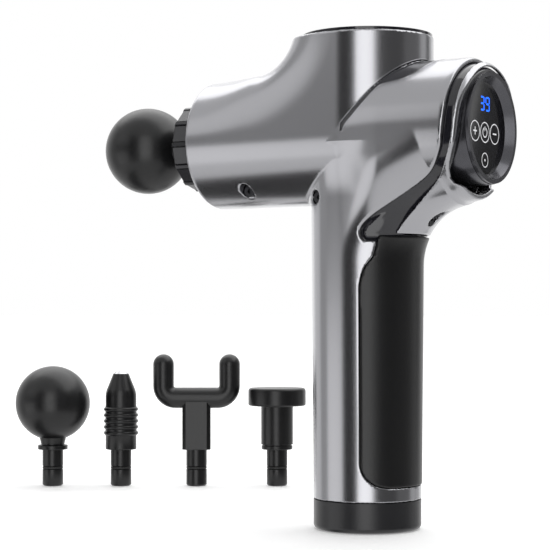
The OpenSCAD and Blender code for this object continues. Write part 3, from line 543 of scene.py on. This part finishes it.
def saddle_painted_shade():
    """Black sheet laid on the display boss in the crease behind the motor housing, widest at the top: painted
    shade and dark reflection standing in for a recess.
    """
    across = 8
    row = across + 4
    V, F = [], []
    for i, a in enumerate(angles):
        out_turret = np.array([math.cos(a), math.sin(a), 0])
        crease = on_boss(a, TURRET_R)[0]
        end = leaf_edge(a)
        V.append(crease + np.array([0, 0, 0.2 + crease_lift(crease[2])]) + 0.05 * out_turret)
        for j in range(across + 1):
            at, normal = on_boss(a, TURRET_R + 0.25 + (end - TURRET_R - 0.25) * j / across)
            V.append(at + 0.06 * normal)
        at, normal = on_boss(a, end)
        V += [at - 0.5 * normal, crease - 0.6 * out_turret - 0.6 * normal]
        if i:
            for j in range(row):
                k = (j + 1) % row
                F.append((row * (i - 1) + j, row * (i - 1) + k, row * i + k, row * i + j))
    F += [tuple(range(row))[::-1], tuple(row * STRIP_STEPS + j for j in range(row))]
    piece("saddle_painted_shade", V, F, None, "groove_black", "housing")


def bead(name, points, radius, mat):
    """Thin round bead along a run of points, with closed ends."""
    P = np.array(points)
    T = np.gradient(P, axis=0)
    V, F, sides = [], [], 6
    for i, (p, t) in enumerate(zip(P, T)):
        t = t / np.linalg.norm(t)
        u = np.cross(t, (0, 0, 1.0))
        u /= max(np.linalg.norm(u), 1e-6)
        w = np.cross(u, t)
        for k in range(sides):
            turn = 2 * math.pi * k / sides
            V.append(p + radius * (math.cos(turn) * u + math.sin(turn) * w))
        if i:
            for k in range(sides):
                m = (k + 1) % sides
                F.append((sides * (i - 1) + k, sides * (i - 1) + m, sides * i + m, sides * i + k))
    F += [tuple(range(sides))[::-1], tuple(sides * (len(P) - 1) + k for k in range(sides))]
    return piece(name, V, F, None, mat, "housing")


def crease_point(a):
    at = on_boss(a, TURRET_R)[0]
    return at + np.array([0.1 * math.cos(a), 0.1 * math.sin(a), 0.25 + crease_lift(at[2])])


# Painted shade: a black sheet standing for the shadow and dark reflection in the crease behind the motor
# housing
saddle_painted_shade()
BEAD_R = 0.22
# Thin beads in the shell's paint along both edges of the painted shade strip
bead("shade_strip_edge", [on_boss(a, leaf_edge(a) + 0.1)[0] for a in angles], BEAD_R, "shell_paint")
bead("crease_edge", [crease_point(a) for a in angles], BEAD_R, "shell_paint")

# ---------------------------------------------------------------- ribbed nose collar


def collar():
    """Twelve flats, each between two ribs with a fine groove beside them."""
    flat, rib, groove = 21.5, 22.5, 21.0

    def outer(deg):
        d = abs((deg + 15) % 30 - 15)
        if d < 2.2:
            return rib
        if d < 3.0:
            return rib + (groove - rib) * (d - 2.2) / 0.8
        if d < 3.8:
            return groove
        return flat / math.cos(math.radians(15 - d)) * (1 if d > 4.2 else 0.99)
    marks = [0, 2.15, 3.05, 3.75, 4.25, 7, 10, 13]
    turn = [30 * i + m for i in range(12) for m in marks + [30 - v for v in marks[:0:-1]]]
    # Distance from the barrel's face with what is added to the outer radius, then the bore's radii
    rows = [(0.2, -0.9), (1.0, 0), (14.4, 0), (15.4, -1.0)]
    bore = [(15.4, 10.6), (13.6, 10.6), (13.6, 15.2), (0.2, 15.2)]
    V, F = [], []
    for deg in turn:
        c1, s1 = math.cos(math.radians(deg)), math.sin(math.radians(deg))
        ring = [(x, outer(deg) + dr) for x, dr in rows] + bore
        V += [(BARREL_FRONT - x, r * c1, AXIS_Z + r * s1) for x, r in ring]
    n, m = len(turn), len(rows) + len(bore)
    for i in range(n):
        for j in range(m):
            k, l = (i + 1) % n, (j + 1) % m
            F.append((m * i + j, m * k + j, m * k + l, m * i + l))
    o = piece("nose_collar_skin", V, F, None, "collar_black", "housing", ["nose_collar"])
    o.data.set_sharp_from_angle(angle=math.radians(20))


collar()

# ---------------------------------------------------------------- turned pieces


def lathe(name, profile, place, mat, body_name, replaces, seg=96):
    """Turns a profile (radius, height) about +Z, closed at both ends; place maps its points to the frame."""
    V, F = [(0, 0, profile[0][1])], []
    rows = []
    for r, z in profile:
        row = []
        for i in range(seg):
            a = 2 * math.pi * i / seg
            V.append((r * math.cos(a), r * math.sin(a), z))
            row.append(len(V) - 1)
        rows.append(row)
    V.append((0, 0, profile[-1][1]))
    for i in range(seg):
        j = (i + 1) % seg
        F.append((0, rows[0][j], rows[0][i]))
        F.append((len(V) - 1, rows[-1][i], rows[-1][j]))
        for a, b in zip(rows, rows[1:]):
            F.append((a[i], a[j], b[j], b[i]))
    P = np.array([place(*v) for v in V])
    o = piece(name, P, F, None, mat, body_name, replaces)
    o.data.set_sharp_from_angle(angle=math.radians(50))
    return o


def rounded(points, radii, n=5):
    """Rounds the corners of an open profile."""
    out = []
    for i, p in enumerate(points):
        r = radii[i] if i < len(radii) else 0
        if i in (0, len(points) - 1) or not r:
            out.append(tuple(p))
            continue
        p0, p1, p2 = map(np.array, (points[i - 1], p, points[i + 1]))
        a, b = (p0 - p1) / np.linalg.norm(p0 - p1), (p2 - p1) / np.linalg.norm(p2 - p1)
        s, e = p1 + a * r, p1 + b * r
        for k in range(n + 1):
            t = k / n
            out.append(tuple((1 - t) ** 2 * s + 2 * t * (1 - t) * p1 + t * t * e))
    return out


SHANK_R, SHANK_L, BALL_R = 6.25, 22.0, 22.5


def shank_profile():
    """Stem of a head with its snap groove, from its flat end up."""
    mid, half, groove_r = SHANK_L / 2, 1.1, 4.3
    return [(0.01, 0), (5.4, 0), (SHANK_R, 0.8), (SHANK_R, mid - half), (groove_r, mid - half),
            (groove_r, mid + half), (SHANK_R, mid + half)]


def ball_profile():
    zc = SHANK_L + 5.6 + BALL_R
    a0 = math.degrees(math.asin(8.0 / BALL_R))
    top = [(BALL_R * math.sin(math.radians(180 - a)), zc + BALL_R * math.cos(math.radians(180 - a)))
           for a in np.linspace(a0, 179.5, 56)]
    neck = [(SHANK_R, SHANK_L), (9, SHANK_L), (9, SHANK_L + 2.6), (7.0, SHANK_L + 3.0), top[0]]
    return shank_profile() + rounded(neck, [0, 0.5, 0.5, 0.4]) + top


# x of the stem's flat end, inside the plunger; the fitted head's neck starts 18.1 in front of the barrel
SEAT_X = BARREL_FRONT - 18 - 0.1 + SHANK_L


def fitted(x, y, z):
    return SEAT_X - z, y, AXIS_Z + x


lathe("ball_head_skin", ball_profile(), fitted, "head_black", "fitted_head", ["ball_head"])

# Row of spare heads: its direction, and its origin along and across that direction
ROW, ROW_ALONG, ROW_ACROSS = math.radians(32.6), -119, 210


def in_row(at):
    """Placement at a distance along the row."""
    cr, sr = math.cos(ROW), math.sin(ROW)
    cx = (ROW_ALONG + at) * cr - ROW_ACROSS * sr
    cy = (ROW_ALONG + at) * sr + ROW_ACROSS * cr
    return lambda x, y, z: (cx + x * cr - y * sr, cy + x * sr + y * cr, z)


lathe("spare_ball_skin", ball_profile(), in_row(-61.5), "head_black", "loose_ball", ["spare_ball"])

L = SHANK_L
BULLET_R, RIBS, RIB_PITCH = 9.35, 5, 3.6
prof = shank_profile() + rounded([(SHANK_R, L), (BULLET_R, L), (BULLET_R, L + 8.5)], [0, 0.8, 0])
for i in range(RIBS):
    z0 = L + 10 + i * RIB_PITCH
    prof += [(BULLET_R + 1.1 * math.cos(a), z0 + 1.25 * math.sin(a))
             for a in np.radians(np.linspace(-80, 80, 7))]
prof += rounded([(BULLET_R, L + 26.5), (BULLET_R, L + 34.5), (4.68, L + 46)], [0, 2.5, 0])
prof.append((0.01, L + 46))
lathe("spare_bullet_skin", prof, in_row(-20), "head_black", "loose_bullet", ["spare_bullet"])

STEM_R, PAD_R, FLAT_TOP = 9.7, 17.5, 37.4
flat = [(SHANK_R, L), (9.4, L), (9.4, L + 2.2), (8.9, L + 2.4), (8.9, L + 3.0), (STEM_R, L + 3.2),
        (STEM_R, L + 26.2), (PAD_R, L + 26.6), (PAD_R, L + FLAT_TOP), (0.01, L + FLAT_TOP)]
prof = shank_profile() + rounded(flat, [0, 0.6, 0.1, 0.1, 0.1, 0.1, 0.4, 1.2, 2.2, 0])
lathe("spare_flat_skin", prof, in_row(75), "head_black", "loose_flat", ["spare_flat"])

# ---------------------------------------------------------------- floor, light, camera

# The camera is level; CAM_TURN is its angle about the vertical
CAM_TURN = 0.5696
s, c = math.sin(CAM_TURN), math.cos(CAM_TURN)
cam = bpy.data.cameras.new("camera")
cam.lens, cam.sensor_width, cam.sensor_fit = 114.1, 36.0, "HORIZONTAL"
cam.shift_y = 0.0682
cam.clip_end = 50
camera = bpy.data.objects.new("camera", cam)
camera.location = (0.4211, -0.7412, 0.10518)
camera.rotation_euler = (math.radians(90), 0, CAM_TURN)
bpy.context.collection.objects.link(camera)
bpy.context.scene.camera = camera


def emitter(name, level):
    m = bpy.data.materials.new(name)
    m.use_nodes = True
    nt = m.node_tree
    nt.nodes.clear()
    out = nt.nodes.new("ShaderNodeOutputMaterial")
    e = nt.nodes.new("ShaderNodeEmission")
    e.inputs["Color"].default_value = (1, 1, 1, 1)
    e.inputs["Strength"].default_value = level
    nt.links.new(e.outputs[0], out.inputs[0])
    return m


def add_mesh(name, verts, faces, mat):
    me = bpy.data.meshes.new(name)
    me.from_pydata(verts, [], faces)
    me.materials.append(mat)
    o = bpy.data.objects.new(name, me)
    bpy.context.collection.objects.link(o)
    return o


STUDIO_R = 1.9


def azimuth(deg, radius):
    """Point at an azimuth from the camera's side, positive to the camera's right."""
    a = math.radians(deg)
    return radius * (s * math.cos(a) + c * math.sin(a)), radius * (s * math.sin(a) - c * math.cos(a))


def card(name, a0, a1, z0, z1, level):
    """Curved studio panel between two azimuths and two heights."""
    n = max(2, int(abs(a1 - a0) / 5))
    V, F = [], []
    for i in range(n + 1):
        x, y = azimuth(a0 + (a1 - a0) * i / n, STUDIO_R)
        V += [(x, y, z0), (x, y, z1)]
    for i in range(n):
        F.append((2 * i, 2 * i + 1, 2 * i + 3, 2 * i + 2))
    o = add_mesh(name, V, F, emitter(name, level))
    o.visible_camera = False
    o.visible_shadow = False
    return o


floor_mat = material("floor_pale", (0.86, 0.86, 0.86), rough=0.7, vary=0.03, bump=0.0, tint=0.005, emit=0.25)
FLOOR_HALF, FLOOR_Z = 40, -0.0002
corners = [(FLOOR_HALF * x, FLOOR_HALF * y, FLOOR_Z) for x, y in ((-1, -1), (1, -1), (1, 1), (-1, 1))]
floor = add_mesh("floor", corners, [(0, 1, 2, 3)], floor_mat)
floor.visible_glossy = False
# Panels round the object: azimuth from and to, height from and to, brightness
LOW, HIGH = -0.8, 1.5
PANELS = [(-24, 8, LOW, HIGH, 2.1), (-56, -24, LOW, HIGH, 0.03), (-95, -56, LOW, 0.1, 1.25),
          (-95, -56, 0.1, 0.62, 0.35), (-95, -56, 0.62, HIGH, 0.95), (-118, -95, LOW, HIGH, 0.5),
          (-145, -118, LOW, HIGH, 0.9), (-180, -145, LOW, HIGH, 1.3), (8, 14, LOW, HIGH, 0.6),
          (14, 62, LOW, HIGH, 0.1), (62, 100, LOW, HIGH, 0.2), (100, 140, LOW, HIGH, 0.65),
          (140, 180, LOW, HIGH, 1.1)]
for i, (a0, a1, z0, z1, level) in enumerate(PANELS):
    card(f"panel_{i}", a0, a1, z0, z1, level)


def plate(name, points, level, diffuse):
    """Flat studio panel, seen in reflections and, if diffuse, also lighting the object."""
    o = add_mesh(name, points, [tuple(range(len(points)))], emitter(name, level))
    o.visible_camera = False
    o.visible_shadow = False
    o.visible_diffuse = diffuse


def half_disc(radius, z, a0, a1):
    return [(radius * math.cos(t), radius * math.sin(t), z) for t in np.radians(np.linspace(a0, a1, 25))]


# Overhead, brighter on the far side; below, a dark ground seen only in reflections, with a light rim
plate("overhead_near", half_disc(STUDIO_R, HIGH, 180, 360), 0.75, True)
plate("overhead_far", half_disc(STUDIO_R, HIGH, 0, 180), 2.3, True)
plate("under_dark", half_disc(0.95, LOW + 0.001, -112, -237), 0.03, False)
plate("under_rim", half_disc(STUDIO_R, LOW, 0, 345), 0.9, False)
# Slanted dark panel whose edge the display's lens reflects
SHADE_R = 1.85
tilt = [(116.5, -0.1), (122.8, 1.0), (130.0, 1.0), (130.0, -0.1)]
plate("screen_shade", [(*azimuth(deg, SHADE_R), z) for deg, z in tilt], 0.08, False)

world = bpy.data.worlds.new("world")
world.use_nodes = True
background = world.node_tree.nodes["Background"]
background.inputs["Color"].default_value = (1, 1, 1, 1)
background.inputs["Strength"].default_value = 1.0
bpy.context.scene.world = world
bpy.context.scene.view_settings.view_transform = "Standard"
